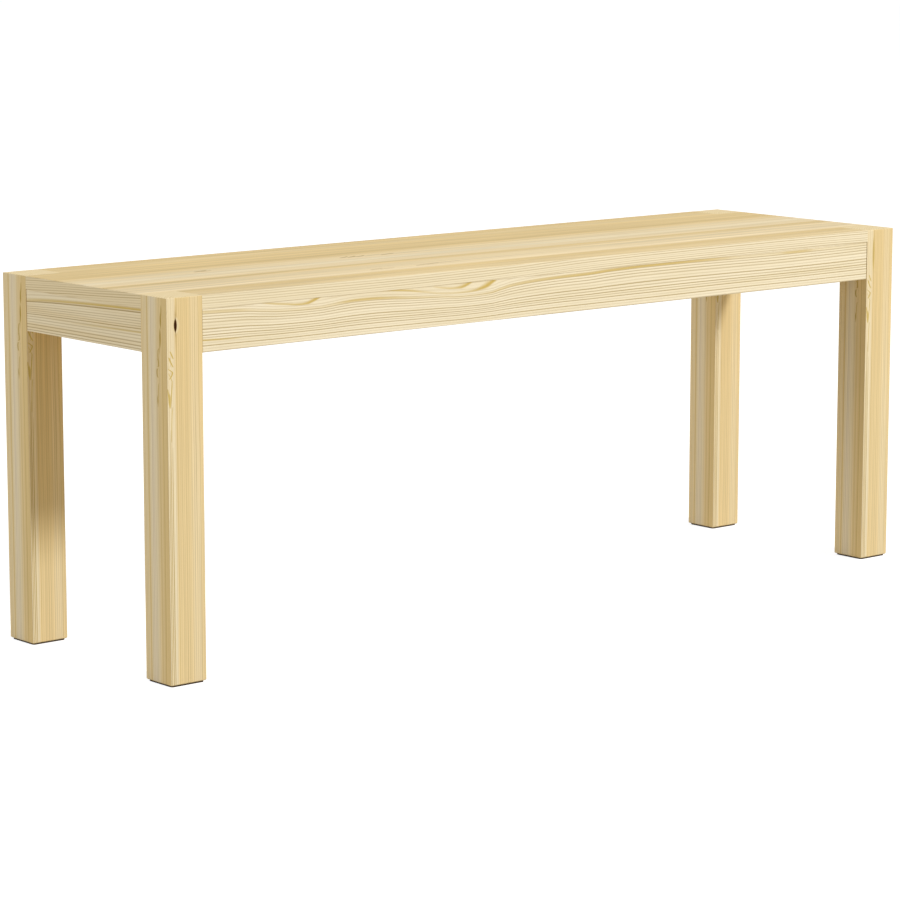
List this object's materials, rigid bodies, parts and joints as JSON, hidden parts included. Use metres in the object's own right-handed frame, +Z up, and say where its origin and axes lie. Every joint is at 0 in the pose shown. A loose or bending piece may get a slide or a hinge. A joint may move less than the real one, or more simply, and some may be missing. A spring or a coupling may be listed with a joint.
{
  "type": "kitchen bench",
  "caption": "Backless solid pine bench with square corner legs, flush aprons and an edge-glued seat lying level with the leg tops.",
  "frame": {"origin": "on the floor, under the middle of the seat", "axes": "+X along the bench to the right, +Y to the back, +Z up"},
  "size_m": [1.2, 0.337, 0.45],
  "materials": {
    "frame_pine": "clear-lacquered knotty pine, fine straight grain, satin",
    "seat_pine": "clear-lacquered edge-glued pine staves, satin",
    "block_pine": "planed pine, unfinished",
    "zinc_steel": "bright zinc plated",
    "felt": "pressed dark brown felt"
  },
  "bodies": {
    "root": {"apron_front": "frame_pine", "apron_left": "frame_pine", "apron_rear": "frame_pine", "apron_right": "frame_pine", "bolt_nuts": "zinc_steel", "bolt_washers": "zinc_steel", "corner_block_front_left": "block_pine", "corner_block_front_right": "block_pine", "corner_block_rear_left": "block_pine", "corner_block_rear_right": "block_pine", "corner_block_screws": "zinc_steel", "cross_rail_left": "block_pine", "cross_rail_right": "block_pine", "felt_glide_front_left": "felt", "felt_glide_front_right": "felt", "felt_glide_rear_left": "felt", "felt_glide_rear_right": "felt", "hanger_bolts": "zinc_steel", "leg_front_left": "frame_pine", "leg_front_right": "frame_pine", "leg_rear_left": "frame_pine", "leg_rear_right": "frame_pine", "seat_screws": "zinc_steel", "seat_stave_front": "seat_pine", "seat_stave_inner_1": "seat_pine", "seat_stave_inner_2": "seat_pine", "seat_stave_inner_3": "seat_pine", "seat_stave_rear": "seat_pine"}
  },
  "joints": []
}
